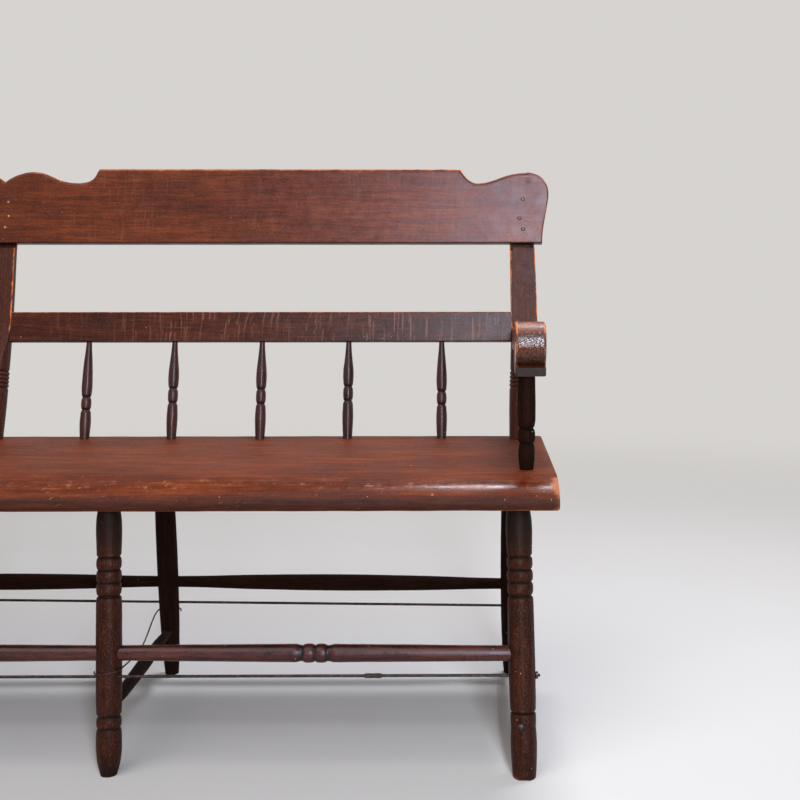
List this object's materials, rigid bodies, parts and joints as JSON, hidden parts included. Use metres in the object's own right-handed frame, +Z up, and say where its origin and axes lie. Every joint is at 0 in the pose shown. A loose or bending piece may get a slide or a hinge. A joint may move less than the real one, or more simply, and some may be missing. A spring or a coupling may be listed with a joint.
{
  "type": "deacons bench",
  "caption": "Long wooden bench with an open spindle back, a scroll-cut crest rail, rolled arms, and turned legs braced by stretchers and thin iron rods.",
  "frame": {"origin": "centre of the bench's outline on the floor", "axes": "+X along the bench to the right of someone who faces it, +Y to its back, +Z up"},
  "size_m": [2.006, 0.5204, 0.9295],
  "materials": {
    "seat_wood": "worn red-brown varnish over straight grain, scratched and paler on the rolled front edge",
    "red_wood": "red-brown stained and varnished wood, orange where the edges are worn through",
    "dark_wood": "dark brown-red old varnish on turned wood, with small chips",
    "iron": "dark iron with rubbed bright lines"
  },
  "bodies": {
    "root": {"seat_plank": "seat_wood", "front_leg_1": "dark_wood", "front_leg_2": "dark_wood", "front_leg_3": "dark_wood", "front_leg_4": "dark_wood", "rear_leg_1": "dark_wood", "rear_leg_2": "dark_wood", "rear_leg_3": "dark_wood", "rear_leg_4": "dark_wood", "front_stretcher_1": "dark_wood", "front_stretcher_2": "dark_wood", "front_stretcher_3": "dark_wood", "rear_stretcher_1": "dark_wood", "rear_stretcher_2": "dark_wood", "rear_stretcher_3": "dark_wood", "side_stretcher_1": "dark_wood", "side_stretcher_2": "dark_wood", "side_stretcher_3": "dark_wood", "side_stretcher_4": "dark_wood", "back_post_1": "red_wood", "back_post_2": "red_wood", "back_post_3": "red_wood", "crest_rail": "red_wood", "crest_nail_1": "iron", "crest_nail_2": "iron", "crest_nail_3": "iron", "crest_nail_4": "iron", "crest_nail_5": "iron", "crest_nail_6": "iron", "crest_nail_7": "iron", "crest_nail_8": "iron", "crest_nail_9": "iron", "mid_rail_1": "red_wood", "mid_rail_2": "red_wood", "spindle_1": "dark_wood", "spindle_2": "dark_wood", "spindle_3": "dark_wood", "spindle_4": "dark_wood", "spindle_5": "dark_wood", "spindle_6": "dark_wood", "spindle_7": "dark_wood", "spindle_8": "dark_wood", "spindle_9": "dark_wood", "spindle_10": "dark_wood", "arm_left": "red_wood", "arm_right": "red_wood", "arm_post_left": "dark_wood", "arm_post_right": "dark_wood", "front_rod": "iron", "rear_rod": "iron", "rod_nut_1": "iron", "rod_nut_2": "iron", "rod_nut_3": "iron", "rod_nut_4": "iron", "tie_wire_left": "iron", "tie_wire_right": "iron", "foot_bolt": "iron"}
  },
  "joints": []
}
